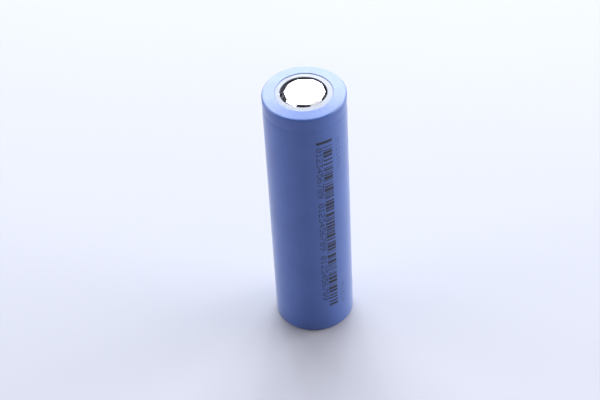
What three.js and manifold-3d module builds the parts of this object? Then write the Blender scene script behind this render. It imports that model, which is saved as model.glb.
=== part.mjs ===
// A flat-top cylindrical lithium-ion cell, 18 mm across and 65 mm long, as an assembly of its real pieces.
// It stands on its negative end: the origin is the centre of the base, +Z points to the positive cap.
// All lengths are in millimetres.
import * as THREE from "three";
import { mergeVertices } from "three/addons/utils/BufferGeometryUtils.js";
import Module from "manifold-3d";

const wasm = await Module();
wasm.setup();

// ---- Driving dimensions ----
const CELL_LENGTH = 65.2;
const CELL_DIAMETER = 18.2;
const GAP = 0.03; // clearance between two pieces that rest on each other
const SEGMENTS = 36; // flats round each turned piece

const SLEEVE_WALL = 0.1;
const SLEEVE_TOP_OPENING = 6.25; // radius of the hole that the shrunk film leaves at each end
const SLEEVE_BASE_OPENING = 6.7;
const SLEEVE_SHOULDER = 0.4; // outer radius of the film where it turns in over the crimp
const SLEEVE_FOOT = 0.45; // and at the base
const SLEEVE_DIP = 0.09; // how far the film sinks into the can's bead

const CAN_WALL = 0.22;
const CAN_BASE = 0.3;
const CAN_PAD_RADIUS = 6.3; // the middle of the base is pressed out a little, for good contact
const CAN_PAD_HEIGHT = 0.08;
const CAN_MOUTH_WALL = 0.25; // the wall is thicker where it is crimped
const CAN_FOOT_RADIUS = 0.32;
const BEAD_GROOVE_RADIUS = 0.5;
const BEAD_DEPTH = 1.3;
const CRIMP_SHOULDER = 0.5;
const CRIMP_LIP_REACH = 6.75; // radius of the crimped lip's edge
const CRIMP_SLOPE = 0.1; // the lip, the washer and the film on it rise by this much per millimetre inwards

const CAP_SHEET = 0.35;
const CAP_TOP_RADIUS = 4.4;
const CAP_LEGS = 5;
const CAP_LEG_WIDTH = 2.7;
const CAP_LEG_BEND = 4.0; // distance from the axis to the straight bend at the head of each leg
const CAP_LEG_FOOT = 4.9; // and to the bend at its foot
const CAP_FIRST_LEG = 14; // degrees
const CAP_FLANGE_BORE = 5.25;

const WASHER_THICKNESS = 0.25;
const WASHER_BORE = 5.12;
const WASHER_RADIUS = 8.0;
const WASHER_SHIFT = -0.12; // the loose washer lies a little off the axis, along X

const GASKET_WALL = 0.45;
const GASKET_LIP = 0.4;
const GASKET_REACH = 6.45;
const GASKET_FLOOR_REACH = 6.55;

const PTC_THICKNESS = 0.32;
const PTC_BORE = 5.6;

const VENT_SHEET = 0.3;
const VENT_SKIRT_INNER = 5.95;
const VENT_SKIRT_OUTER = 6.25;
const VENT_SKIRT_DEPTH = 1.66;
const VENT_SKIRT_LIP = 5.45; // the skirt's foot is turned in to this radius
const SCORE_RADIUS = 4.42; // the burst disc tears here
const SCORE_WIDTH = 0.06;

const PLATE_RADIUS = 5.59;
const PLATE_DROP = 0.59; // from the burst disc's underside to the weld plate
const PLATE_THICKNESS = 0.5;
const PLATE_HOLES = 6;
const PLATE_HOLE_RADIUS = 0.65;
const PLATE_HOLE_CIRCLE = 3.4;

const WINDING_CORE = 1.85;
const WINDING_PITCH = 0.6;
const STEPS_PER_TURN = 20;
const SEPARATOR_FILM = 0.05;
const ELECTRODE_SHEET = 0.2;
const FOIL = 0.04; // bare foil under a tab
const LAYER_GAP = 0.025;
const WINDING_BOTTOM = 1.0;
const WINDING_TOP = 59.5;
const TAB_SHEET = 0.08;
const TAB_TAPE = 0.035;
const TAB_GAP = 0.015;

const UPPER_INSULATOR_BOTTOM = 59.65;
const UPPER_INSULATOR_THICKNESS = 0.25;
const UPPER_INSULATOR_RADIUS = 8.5;
const LOWER_INSULATOR_THICKNESS = 0.2;
const LOWER_INSULATOR_RADIUS = 8.35;
const INSULATOR_BORE = 1.7;

const PIN_OUTER = 1.6;
const PIN_INNER = 1.35;
const PIN_BOTTOM = 0.95;
const PIN_TOP = 59.4;
const PIN_SLIT = 0.5;

// ---- Heights worked out from the top down ----
const sleeveRadius = CELL_DIAMETER / 2;
const canRadius = sleeveRadius - SLEEVE_WALL - GAP;
const canBottom = SLEEVE_WALL + GAP;
const canFloor = canBottom + CAN_BASE;
const washerTop = CELL_LENGTH - SLEEVE_WALL - GAP;
const washerBottom = washerTop - WASHER_THICKNESS;
const crimpTop = washerBottom - GAP;
const crimpUnder = crimpTop - CAN_MOUTH_WALL;
const gasketTop = crimpUnder - GAP;
const flangeTop = gasketTop - GASKET_LIP - GAP;
const flangeUnder = flangeTop - CAP_SHEET;
const ptcTop = flangeUnder - GAP;
const ventTop = ptcTop - PTC_THICKNESS - GAP;
const ventUnder = ventTop - VENT_SHEET;
const gasketFloor = ventUnder - GAP;
const gasketBottom = gasketFloor - GASKET_LIP;
const beadShelf = gasketBottom - GAP;
const beadMiddle = beadShelf - BEAD_GROOVE_RADIUS - CAN_WALL;
const skirtBottom = ventUnder - VENT_SKIRT_DEPTH;
const plateTop = ventUnder - PLATE_DROP;
const plateBottom = plateTop - PLATE_THICKNESS;
const mouthInner = canRadius - CAN_MOUTH_WALL;
const bodyInner = canRadius - CAN_WALL;
const gasketOuter = mouthInner - GAP;
const headerRadius = gasketOuter - GASKET_WALL - GAP;

// How far a sloping layer of the crimp lies below its height at the sleeve's opening.
const crimpDrop = (r) => CRIMP_SLOPE * (r - SLEEVE_TOP_OPENING);

// ---- Shape helpers ----

// Points [r, z] on an arc, in degrees counter-clockwise from +r.
function arc(r, z, radius, from, to, steps) {
  return Array.from({ length: steps + 1 }, (_, i) => {
    const a = THREE.MathUtils.degToRad(from + ((to - from) * i) / steps);
    return [r + radius * Math.cos(a), z + radius * Math.sin(a)];
  });
}

// A solid turned about Z from a profile of [r, z] points that runs counter-clockwise.
// A profile that doesn't start on the axis is closed on itself.
function turned(profile, segments = SEGMENTS) {
  const points = profile.map(([r, z]) => new THREE.Vector2(Math.max(r, 0), z));
  if (profile[0][0] > 0) points.push(points[0].clone());
  return new THREE.LatheGeometry(points, segments).rotateX(Math.PI / 2);
}

function washer(inner, outer, bottom, top, segments) {
  return turned([[inner, bottom], [outer, bottom], [outer, top], [inner, top]], segments);
}

function toSolid(geometry) {
  const bare = geometry.clone();
  bare.deleteAttribute("normal");
  bare.deleteAttribute("uv");
  const merged = mergeVertices(bare, 1e-4);
  return new wasm.Manifold(
    new wasm.Mesh({
      numProp: 3,
      vertProperties: merged.attributes.position.array,
      triVerts: new Uint32Array(merged.index.array),
    }),
  );
}

function toGeometry(solid) {
  const mesh = solid.getMesh();
  const geometry = new THREE.BufferGeometry();
  geometry.setAttribute("position", new THREE.BufferAttribute(mesh.vertProperties, 3));
  geometry.setIndex(new THREE.BufferAttribute(mesh.triVerts, 1));
  geometry.computeVertexNormals();
  return geometry;
}

function cut(geometry, ...tools) {
  return toGeometry(tools.reduce((solid, tool) => solid.subtract(toSolid(tool)), toSolid(geometry)));
}

function join(...geometries) {
  return toGeometry(geometries.map(toSolid).reduce((a, b) => a.add(b)));
}

// A box from its lowest to its highest corner.
function block(low, high) {
  const size = high.map((v, i) => v - low[i]);
  return new THREE.BoxGeometry(...size).translate(...low.map((v, i) => v + size[i] / 2));
}

function rod(radius, bottom, top, x = 0, y = 0, segments = 20) {
  return new THREE.CylinderGeometry(radius, radius, top - bottom, segments)
    .rotateX(Math.PI / 2)
    .translate(x, y, (bottom + top) / 2);
}

// ---- The winding ----

// Radial places of the four layers within one pitch of the spiral.
const layer = {
  outerSeparator: [0, SEPARATOR_FILM],
  cathode: [SEPARATOR_FILM + LAYER_GAP, SEPARATOR_FILM + LAYER_GAP + ELECTRODE_SHEET],
};
layer.innerSeparator = [layer.cathode[1] + LAYER_GAP, layer.cathode[1] + LAYER_GAP + SEPARATOR_FILM];
layer.anode = [layer.innerSeparator[1] + LAYER_GAP, layer.innerSeparator[1] + LAYER_GAP + ELECTRODE_SHEET];

function spiralPoint(turn, offset) {
  const angle = 2 * Math.PI * turn;
  const r = WINDING_CORE + WINDING_PITCH * turn + offset;
  return new THREE.Vector2(r * Math.cos(angle), r * Math.sin(angle));
}

// A sheet wound on the spiral between two turns, standing from bottom to top.
function wound([inner, outer], startTurn, endTurn, bottom, top) {
  const steps = Math.round((endTurn - startTurn) * STEPS_PER_TURN);
  const turns = Array.from({ length: steps + 1 }, (_, i) => startTurn + i / STEPS_PER_TURN);
  const outline = [
    ...turns.map((t) => spiralPoint(t, outer)),
    ...turns.toReversed().map((t) => spiralPoint(t, inner)),
  ];
  return new THREE.ExtrudeGeometry(new THREE.Shape(outline), { depth: top - bottom, bevelEnabled: false })
    .translate(0, 0, bottom);
}

// A flat strip that follows a path of [x, z] points, as wide as given along Y.
function strip(path, thickness, width) {
  const side = (sign) =>
    path.map(([x, z], i) => {
      const [ax, az] = path[Math.max(i - 1, 0)];
      const [bx, bz] = path[Math.min(i + 1, path.length - 1)];
      const length = Math.hypot(bx - ax, bz - az);
      const reach = (sign * thickness) / 2 / length;
      return new THREE.Vector2(x - (bz - az) * reach, z + (bx - ax) * reach);
    });
  const outline = [...side(1), ...side(-1).toReversed()];
  return new THREE.ExtrudeGeometry(new THREE.Shape(outline), { depth: width, bevelEnabled: false })
    .rotateX(Math.PI / 2)
    .translate(0, width / 2, 0);
}

// ---- Outer pieces ----

function shrinkSleeve() {
  const foot = sleeveRadius - SLEEVE_FOOT;
  const shoulder = sleeveRadius - SLEEVE_SHOULDER;
  const bend = CELL_LENGTH - SLEEVE_SHOULDER - crimpDrop(shoulder);
  const dip = (radius) => [
    [radius, beadMiddle - 0.75],
    [radius - SLEEVE_DIP, beadMiddle - 0.42],
    [radius - SLEEVE_DIP, beadMiddle + 0.38],
    [radius, beadMiddle + 0.65],
  ];
  return turned([
    [SLEEVE_BASE_OPENING, 0],
    ...arc(foot, SLEEVE_FOOT, SLEEVE_FOOT, -90, 0, 3),
    ...dip(sleeveRadius),
    ...arc(shoulder, bend, SLEEVE_SHOULDER, 0, 90, 4),
    [SLEEVE_TOP_OPENING, CELL_LENGTH],
    [SLEEVE_TOP_OPENING, CELL_LENGTH - SLEEVE_WALL],
    ...arc(shoulder, bend, SLEEVE_SHOULDER - SLEEVE_WALL, 90, 0, 4),
    ...dip(sleeveRadius - SLEEVE_WALL).toReversed(),
    ...arc(foot, SLEEVE_FOOT, SLEEVE_FOOT - SLEEVE_WALL, 0, -90, 3),
    [SLEEVE_BASE_OPENING, SLEEVE_WALL],
  ]);
}

function can() {
  const foot = canRadius - CAN_FOOT_RADIUS;
  const shoulder = canRadius - CRIMP_SHOULDER;
  const bend = crimpTop - CRIMP_SHOULDER - crimpDrop(shoulder);
  const lipDrop = crimpDrop(CRIMP_LIP_REACH);
  const groove = canRadius - BEAD_DEPTH + BEAD_GROOVE_RADIUS;
  const innerGroove = BEAD_GROOVE_RADIUS + CAN_WALL;
  return turned([
    [0, canBottom - CAN_PAD_HEIGHT],
    [CAN_PAD_RADIUS - 0.15, canBottom - CAN_PAD_HEIGHT],
    [CAN_PAD_RADIUS, canBottom],
    ...arc(foot, canBottom + CAN_FOOT_RADIUS, CAN_FOOT_RADIUS, -90, 0, 3),
    [canRadius, beadMiddle - 0.75],
    [canRadius - 0.17, beadMiddle - 0.55],
    ...arc(groove, beadMiddle, BEAD_GROOVE_RADIUS, 270, 90, 4),
    [canRadius - 0.12, beadMiddle + BEAD_GROOVE_RADIUS],
    [canRadius, beadMiddle + 0.62],
    ...arc(shoulder, bend, CRIMP_SHOULDER, 0, 90, 4),
    [CRIMP_LIP_REACH + 0.1, crimpTop - lipDrop],
    [CRIMP_LIP_REACH, crimpTop - lipDrop - 0.1],
    [CRIMP_LIP_REACH, crimpUnder - lipDrop],
    ...arc(shoulder, bend, CRIMP_SHOULDER - CAN_MOUTH_WALL, 90, 0, 4),
    [mouthInner, beadShelf],
    ...arc(groove, beadMiddle, innerGroove, 90, 270, 4),
    [canRadius - 0.4, beadMiddle - 0.78],
    [bodyInner, beadMiddle - 0.98],
    ...arc(bodyInner - 0.5, canFloor + 0.5, 0.5, 0, -90, 3),
    [0, canFloor],
  ]);
}

function topInsulatorRing() {
  const section = [
    [WASHER_BORE, washerBottom - crimpDrop(WASHER_BORE)],
    [WASHER_RADIUS, washerBottom - crimpDrop(WASHER_RADIUS)],
    [WASHER_RADIUS, washerTop - crimpDrop(WASHER_RADIUS)],
    [WASHER_BORE, washerTop - crimpDrop(WASHER_BORE)],
  ];
  return turned(section).translate(WASHER_SHIFT, 0, 0);
}

// A disc with a straight edge over each leg, the sloping legs, and the flange that is clamped in the crimp.
// The windows between the legs are the vents.
function positiveCap() {
  const top = CELL_LENGTH;
  const middle = top - CAP_SHEET / 2;
  const legs = Array.from({ length: CAP_LEGS }, (_, i) =>
    THREE.MathUtils.degToRad(CAP_FIRST_LEG) + (2 * Math.PI * i) / CAP_LEGS,
  );
  const half = CAP_LEG_WIDTH / 2;
  const edge = CAP_LEG_BEND + 0.1;
  const straightEdge = block([edge, -half, top - 1], [edge + 2, half, top + 1]);
  const around = (shape) => legs.map((a) => shape.clone().rotateZ(a));
  const disc = cut(rod(CAP_TOP_RADIUS, top - CAP_SHEET, top, 0, 0, 60), ...around(straightEdge));
  const path = [
    [3.2, middle],
    [CAP_LEG_BEND - 0.15, middle],
    [CAP_LEG_BEND + 0.1, middle - 0.2],
    [CAP_LEG_FOOT - 0.1, flangeTop],
    [CAP_LEG_FOOT + 0.2, flangeTop - CAP_SHEET / 2],
    [CAP_LEG_FOOT + 1.2, flangeTop - CAP_SHEET / 2],
  ];
  const leg = strip(path, CAP_SHEET, CAP_LEG_WIDTH);
  const flange = washer(CAP_FLANGE_BORE, headerRadius, flangeUnder, flangeTop);
  return join(disc, flange, ...around(leg));
}

// ---- Header: everything clamped in the crimp ----

function crimpGasket() {
  const shoulder = canRadius - CRIMP_SHOULDER;
  const bend = crimpTop - CRIMP_SHOULDER - crimpDrop(shoulder);
  const roll = CRIMP_SHOULDER - CAN_MOUTH_WALL - GAP;
  const inner = gasketOuter - GASKET_WALL;
  return turned([
    [GASKET_FLOOR_REACH, gasketBottom],
    [gasketOuter, gasketBottom],
    ...arc(shoulder, bend, roll, 0, 90, 4),
    [GASKET_REACH, gasketTop - crimpDrop(GASKET_REACH)],
    [GASKET_REACH, gasketTop - GASKET_LIP],
    [inner, gasketTop - GASKET_LIP],
    [inner, gasketFloor],
    [GASKET_FLOOR_REACH, gasketFloor],
  ]);
}

function ptcWasher() {
  return washer(PTC_BORE, headerRadius, ptcTop - PTC_THICKNESS, ptcTop);
}

// The clamped rim of the burst disc, with the skirt that holds the weld plate's insulator.
function ventDiscRim() {
  return turned([
    [SCORE_RADIUS, ventUnder],
    [VENT_SKIRT_INNER, ventUnder],
    [VENT_SKIRT_INNER, skirtBottom + 0.2],
    [VENT_SKIRT_LIP, skirtBottom + 0.2],
    [VENT_SKIRT_LIP, skirtBottom],
    [VENT_SKIRT_OUTER, skirtBottom],
    [VENT_SKIRT_OUTER, ventUnder],
    [headerRadius, ventUnder],
    [headerRadius, ventTop],
    [SCORE_RADIUS, ventTop],
  ]);
}

// The part of the burst disc inside its score line: a shallow dish whose boss rests on the weld plate.
function ventDiscDome() {
  const edge = SCORE_RADIUS - SCORE_WIDTH;
  const bossBottom = plateTop + GAP;
  return turned([
    [0, bossBottom],
    [0.9, bossBottom],
    [1.3, bossBottom + 0.08],
    [3.4, ventUnder - 0.08],
    [3.9, ventUnder],
    [edge, ventUnder],
    [edge, ventTop],
    [3.75, ventTop],
    [3.3, ventTop - 0.1],
    [1.2, bossBottom + 0.36],
    [0.8, bossBottom + 0.26],
    [0, bossBottom + 0.26],
  ]);
}

function cidInsulatorRing() {
  const outer = VENT_SKIRT_INNER - GAP;
  const bottom = skirtBottom + 0.2 + GAP;
  const inner = PLATE_RADIUS + GAP;
  return turned([
    [5.05, bottom],
    [outer, bottom],
    [outer, ventUnder - GAP],
    [4.75, ventUnder - GAP],
    [4.75, plateTop + GAP],
    [inner, plateTop + GAP],
    [inner, plateBottom - GAP],
    [5.05, plateBottom - GAP],
  ]);
}

function cidPlate() {
  const disc = turned([
    [0, plateBottom],
    [PLATE_RADIUS, plateBottom],
    [PLATE_RADIUS, plateTop],
    [0, plateTop],
  ]);
  const holes = Array.from({ length: PLATE_HOLES }, (_, i) => {
    const a = (2 * Math.PI * (i + 0.5)) / PLATE_HOLES;
    const [x, y] = [PLATE_HOLE_CIRCLE * Math.cos(a), PLATE_HOLE_CIRCLE * Math.sin(a)];
    return rod(PLATE_HOLE_RADIUS, plateBottom - 0.5, plateTop + 0.5, x, y, 12);
  });
  return cut(disc, ...holes);
}

// ---- Winding, leads and inner insulators ----

const CATHODE_TAB_TURN = 7.0;
const ANODE_TAB_TURN = 9.5;
const TAB_HALF_TURN = 0.05; // a tab spans two steps of the spiral
const CATHODE_TAB_ROOT = 46; // height where the lead starts on the bare foil
const ANODE_TAB_ROOT = 16;

// Radial place of the lead and of its tape on the bare foil of a sheet.
function tabPlace(sheet) {
  return [sheet[0] + FOIL + TAB_GAP, sheet[0] + FOIL + TAB_GAP + TAB_SHEET];
}

function tapePlace(sheet) {
  const start = tabPlace(sheet)[1] + TAB_GAP;
  return [start, start + TAB_TAPE];
}

// The window in an electrode's coating that leaves its foil bare under a lead.
function bareWindow(sheet, turn, bottom, top) {
  return wound([sheet[0] + FOIL, sheet[1] + 0.01], turn - 0.15, turn + 0.15, bottom, top);
}

function cathodeSheet() {
  const coated = wound(layer.cathode, 0.8, 9.3, 2.2, 58.3);
  return cut(coated, bareWindow(layer.cathode, CATHODE_TAB_TURN, CATHODE_TAB_ROOT - 2, 60));
}

function anodeSheet() {
  const coated = wound(layer.anode, 0.4, 9.8, 1.6, 58.9);
  return cut(coated, bareWindow(layer.anode, ANODE_TAB_TURN, 0, ANODE_TAB_ROOT + 2));
}

function cathodeTab() {
  const place = tabPlace(layer.cathode);
  const run = UPPER_INSULATOR_BOTTOM + 0.95;
  const root = wound(
    place,
    CATHODE_TAB_TURN - TAB_HALF_TURN,
    CATHODE_TAB_TURN + TAB_HALF_TURN,
    CATHODE_TAB_ROOT,
    run,
  );
  const weld = plateBottom - GAP - TAB_SHEET / 2;
  const fold = (weld - run) / 2;
  const bend = spiralPoint(CATHODE_TAB_TURN, place[1]).x + 0.1;
  const lead = strip([[bend, run], ...arc(-3.2, run + fold, fold, 270, 90, 6), [2.2, weld]], TAB_SHEET, 4.0);
  return join(root, lead);
}

function anodeTab() {
  const place = tabPlace(layer.anode);
  const bottom = canFloor + GAP;
  const root = wound(
    place,
    ANODE_TAB_TURN - TAB_HALF_TURN,
    ANODE_TAB_TURN + TAB_HALF_TURN,
    bottom,
    ANODE_TAB_ROOT,
  );
  const x = spiralPoint(ANODE_TAB_TURN, place[0]).x;
  return join(root, block([x, -1.9, bottom], [1.6, 1.9, bottom + TAB_SHEET]));
}

function tabTape(sheet, turn, bottom, top) {
  return wound(tapePlace(sheet), turn - 0.1, turn + 0.1, bottom, top);
}

function upperInsulator() {
  const bottom = UPPER_INSULATOR_BOTTOM;
  const top = bottom + UPPER_INSULATOR_THICKNESS;
  const disc = washer(INSULATOR_BORE, UPPER_INSULATOR_RADIUS, bottom, top);
  const slot = block([5.6, -2.4, bottom - 1], [6.6, 2.4, top + 1]);
  const vents = [120, 180, 240].map((degrees) => {
    const a = THREE.MathUtils.degToRad(degrees);
    return rod(0.8, bottom - 1, top + 1, 5 * Math.cos(a), 5 * Math.sin(a), 12);
  });
  return cut(disc, slot, ...vents);
}

function lowerInsulator() {
  const bottom = canFloor + GAP + TAB_SHEET + GAP;
  const top = bottom + LOWER_INSULATOR_THICKNESS;
  const disc = washer(INSULATOR_BORE, LOWER_INSULATOR_RADIUS, bottom, top);
  return cut(disc, block([-9, -2.7, bottom - 1], [-7.3, 2.7, top + 1]));
}

function centrePin() {
  const tube = turned(
    [
      [PIN_INNER, PIN_BOTTOM],
      [PIN_OUTER - 0.15, PIN_BOTTOM],
      [PIN_OUTER, PIN_BOTTOM + 0.6],
      [PIN_OUTER, PIN_TOP - 0.6],
      [PIN_OUTER - 0.15, PIN_TOP],
      [PIN_INNER, PIN_TOP],
    ],
    20,
  );
  return cut(tube, block([0, -PIN_SLIT / 2, 0], [3, PIN_SLIT / 2, CELL_LENGTH]));
}

// ---- Colours ----

function material(colour, roughness, metalness = 0) {
  return new THREE.MeshStandardMaterial({ color: colour, roughness, metalness });
}

const paint = {
  sleeveFilm: material(0x4d66b0, 0.45),
  fibre: material(0xf0f1ec, 0.85),
  nickel: material(0xd5d2cb, 0.25, 1),
  canNickel: material(0xbdbab3, 0.38, 1),
  gasket: material(0x2b2d33, 0.5),
  ptc: material(0x3a3632, 0.6),
  aluminium: material(0xcfd2d6, 0.35, 1),
  whitePlastic: material(0xe2e0d8, 0.55),
  cathode: material(0x26272a, 0.9),
  anode: material(0x3b3a3c, 0.85),
  film: material(0xf4f5f6, 0.4),
  tape: material(0xc9a23a, 0.35),
  windingTape: material(0x3f7f68, 0.4),
  steel: material(0xa8abb0, 0.35, 1),
};

// ---- The assembly ----

const cell = new THREE.Group();

function add(name, geometry, colour) {
  const mesh = new THREE.Mesh(geometry, colour);
  mesh.name = name;
  cell.add(mesh);
}

add("shrink_sleeve", shrinkSleeve(), paint.sleeveFilm);
add("top_insulator_ring", topInsulatorRing(), paint.fibre);
add("can", can(), paint.canNickel);
add("positive_cap", positiveCap(), paint.nickel);
add("crimp_gasket", crimpGasket(), paint.gasket);
add("ptc_washer", ptcWasher(), paint.ptc);
add("vent_disc_rim", ventDiscRim(), paint.aluminium);
add("vent_disc_dome", ventDiscDome(), paint.aluminium);
add("cid_insulator_ring", cidInsulatorRing(), paint.whitePlastic);
add("cid_plate", cidPlate(), paint.aluminium);
add("cathode_tab", cathodeTab(), paint.aluminium);
add("cathode_tab_tape", tabTape(layer.cathode, CATHODE_TAB_TURN, CATHODE_TAB_ROOT - 1, 59.3), paint.tape);
add("upper_insulator", upperInsulator(), paint.whitePlastic);
add("centre_pin", centrePin(), paint.steel);
add("cathode_sheet", cathodeSheet(), paint.cathode);
add("anode_sheet", anodeSheet(), paint.anode);
add("separator_outer", wound(layer.outerSeparator, 0, 10.85, WINDING_BOTTOM, WINDING_TOP), paint.film);
add("separator_inner", wound(layer.innerSeparator, 0.2, 9.9, WINDING_BOTTOM, WINDING_TOP), paint.film);
add("winding_tape", wound([0.075, 0.115], 10.6, 11.1, 1.5, 59.0), paint.windingTape);
add("anode_tab", anodeTab(), paint.nickel);
add("anode_tab_tape", tabTape(layer.anode, ANODE_TAB_TURN, 1.2, ANODE_TAB_ROOT + 1), paint.tape);
add("lower_insulator", lowerInsulator(), paint.whitePlastic);

export default cell;
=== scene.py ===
"""A flat-top cylindrical lithium-ion cell in a blue heat-shrunk sleeve, on a pale floor in window light.

Lengths are in millimetres, scaled by MM when a mesh is made. +Z runs up the cell's axis, and -Y is the side
that faces the camera. Texture scales are per metre.
"""
import math
import random

import bmesh
import bpy
from mathutils import Matrix, Vector


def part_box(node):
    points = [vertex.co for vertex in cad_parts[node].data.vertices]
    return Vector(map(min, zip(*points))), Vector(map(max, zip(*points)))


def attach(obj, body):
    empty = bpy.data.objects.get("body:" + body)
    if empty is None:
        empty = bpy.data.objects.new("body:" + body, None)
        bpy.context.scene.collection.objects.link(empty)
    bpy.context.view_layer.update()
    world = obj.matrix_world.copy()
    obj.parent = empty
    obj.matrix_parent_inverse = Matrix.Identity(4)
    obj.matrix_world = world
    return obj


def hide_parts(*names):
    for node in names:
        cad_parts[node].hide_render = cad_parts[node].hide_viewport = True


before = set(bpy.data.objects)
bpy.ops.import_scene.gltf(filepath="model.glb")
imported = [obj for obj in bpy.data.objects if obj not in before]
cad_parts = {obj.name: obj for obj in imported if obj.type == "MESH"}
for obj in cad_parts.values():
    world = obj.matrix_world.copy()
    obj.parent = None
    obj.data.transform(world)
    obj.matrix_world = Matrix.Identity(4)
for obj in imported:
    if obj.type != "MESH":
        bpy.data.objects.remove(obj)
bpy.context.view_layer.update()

MM = 0.001
TAU = 2 * math.pi
rng = random.Random(7)


# ---- Sizes taken from the CAD frame, in millimetres ----


def node_box(name):
    """The low and high corners of a CAD node."""
    low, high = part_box(name)
    return [v / MM for v in low], [v / MM for v in high]


_, SLEEVE_HIGH = node_box("shrink_sleeve")
LENGTH = SLEEVE_HIGH[2]
RADIUS = SLEEVE_HIGH[0]
FILM = 0.10  # thickness of the sleeve
GAP = 0.03  # between pieces that touch


def add_object(name, data):
    obj = bpy.data.objects.new(name, data)
    bpy.context.scene.collection.objects.link(obj)
    return obj


# ---- Camera: the view that the cell is seen from ----

CAMERA_DISTANCE = 359.3  # from the middle of the cell
CAMERA_ELEVATION = 43.48  # in degrees, like the next three
AIM_RIGHT = -0.344
AIM_UP = 0.148
CAMERA_ROLL = -3.0
CAMERA_LENS = 95.7
SENSOR_WIDTH = 36


def make_camera():
    elevation = math.radians(CAMERA_ELEVATION)
    target = Vector((0, 0, LENGTH / 2))
    place = target + CAMERA_DISTANCE * Vector((0, -math.cos(elevation), math.sin(elevation)))
    forward = (target - place).normalized()
    right = forward.cross(Vector((0, 0, 1))).normalized()
    up = right.cross(forward)
    forward = forward + math.tan(math.radians(AIM_RIGHT)) * right + math.tan(math.radians(AIM_UP)) * up
    forward.normalize()
    right = forward.cross(up).normalized()
    up = right.cross(forward)
    roll = math.radians(CAMERA_ROLL)
    rolled_right = math.cos(roll) * right + math.sin(roll) * up
    rolled_up = -math.sin(roll) * right + math.cos(roll) * up
    camera = add_object("camera", bpy.data.cameras.new("camera"))
    turn = Matrix((rolled_right, rolled_up, -forward)).transposed().to_4x4()
    camera.matrix_world = Matrix.Translation(place * MM) @ turn
    camera.data.sensor_width = SENSOR_WIDTH
    camera.data.lens = CAMERA_LENS
    camera.data.clip_start = 0.01
    camera.data.clip_end = 20
    bpy.context.scene.camera = camera


make_camera()


# ---- Mesh helpers ----


def rounded(points, closed=True, steps=5):
    """A polyline of (r, z) or (r, z, corner radius) points, with those corners turned into arcs."""
    out = []
    count = len(points)
    for i, point in enumerate(points):
        radius = point[2] if len(point) > 2 else 0
        here = Vector(point[:2])
        if radius <= 0 or (not closed and i in (0, count - 1)):
            out.append(tuple(here))
            continue
        before = (Vector(points[i - 1][:2]) - here).normalized()
        after = (Vector(points[(i + 1) % count][:2]) - here).normalized()
        half = before.angle(after) / 2
        centre = here + (before + after).normalized() * (radius / math.sin(half))
        first = here + before * (radius / math.tan(half)) - centre
        last = here + after * (radius / math.tan(half)) - centre
        bend = first.angle_signed(last)
        for k in range(steps + 1):
            turn = Matrix.Rotation(-bend * k / steps, 2)
            out.append(tuple(centre + turn @ first))
    return out


def arc(r, z, radius, start, end, steps):
    """Points on an arc, in degrees counter-clockwise from +r."""
    angles = [math.radians(start + (end - start) * k / steps) for k in range(steps + 1)]
    return [(r + radius * math.cos(a), z + radius * math.sin(a)) for a in angles]


def mesh_object(name, vertices, faces, smooth_angle=35):
    """A mesh object from points in millimetres, facing out, smooth except at sharp edges."""
    mesh = bpy.data.meshes.new(name)
    mesh.from_pydata([tuple(c * MM for c in v) for v in vertices], [], faces)
    work = bmesh.new()
    work.from_mesh(mesh)
    bmesh.ops.remove_doubles(work, verts=work.verts, dist=1e-8)
    bmesh.ops.recalc_face_normals(work, faces=work.faces)
    work.to_mesh(mesh)
    work.free()
    mesh.shade_smooth()
    mesh.set_sharp_from_angle(angle=math.radians(smooth_angle))
    return add_object(name, mesh)


def join_rings(faces, a, b, count):
    """Adds the faces between two rings of points, whose first points are a and b."""
    for k in range(count):
        n = (k + 1) % count
        faces.append((a + k, a + n, b + n, b + k))


def revolve(name, profile, segments=192, shift=(0, 0), warp=None, smooth_angle=35):
    """Turns a profile about Z. A profile that starts on the axis ends on it; any other closes on itself.
    warp(r, z, angle) gives the moved (r, z) of a point."""
    on_axis = profile[0][0] < 1e-6
    vertices, faces, rings = [], [], []
    for r, z in profile:
        if on_axis and r < 1e-6:
            rings.append([len(vertices)])
            vertices.append((shift[0], shift[1], z))
            continue
        ring = []
        for k in range(segments):
            angle = TAU * k / segments
            wr, wz = warp(r, z, angle) if warp else (r, z)
            ring.append(len(vertices))
            vertices.append((shift[0] + wr * math.cos(angle), shift[1] + wr * math.sin(angle), wz))
        rings.append(ring)
    for a, b in zip(rings, rings[1:] if on_axis else rings[1:] + rings[:1]):
        if len(a) == 1:
            faces += [(a[0], b[k], b[k - 1]) for k in range(segments)]
        elif len(b) == 1:
            faces += [(a[k - 1], a[k], b[0]) for k in range(segments)]
        else:
            join_rings(faces, a[0], b[0], segments)
    return mesh_object(name, vertices, faces, smooth_angle)


def sweep(name, sections, smooth_angle=35):
    """A closed solid through a row of closed sections that have the same number of points."""
    count = len(sections[0])
    vertices = [p for section in sections for p in section]
    faces = [tuple(range(count)), tuple((len(sections) - 1) * count + k for k in reversed(range(count)))]
    for i in range(len(sections) - 1):
        join_rings(faces, i * count, (i + 1) * count, count)
    return mesh_object(name, vertices, faces, smooth_angle)


def thicken(obj, sheet, bevel, sharp_angle, even=False):
    """Turns a surface into a sheet below it, with rounded edges."""
    solid = obj.modifiers.new("sheet", "SOLIDIFY")
    solid.thickness = sheet * MM
    solid.offset = -1
    solid.use_even_offset = even
    soft = obj.modifiers.new("edges", "BEVEL")
    soft.width = bevel * MM
    soft.segments = 2
    soft.limit_method = "ANGLE"
    soft.angle_limit = math.radians(sharp_angle)
    made = bpy.data.meshes.new_from_object(obj.evaluated_get(bpy.context.evaluated_depsgraph_get()))
    obj.modifiers.clear()
    obj.data = made


def wave(angle, terms):
    """A smooth random curve round the circle: a sum of sines with the given (count, size, phase) terms."""
    return sum(size * math.sin(count * angle + phase) for count, size, phase in terms)


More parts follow.
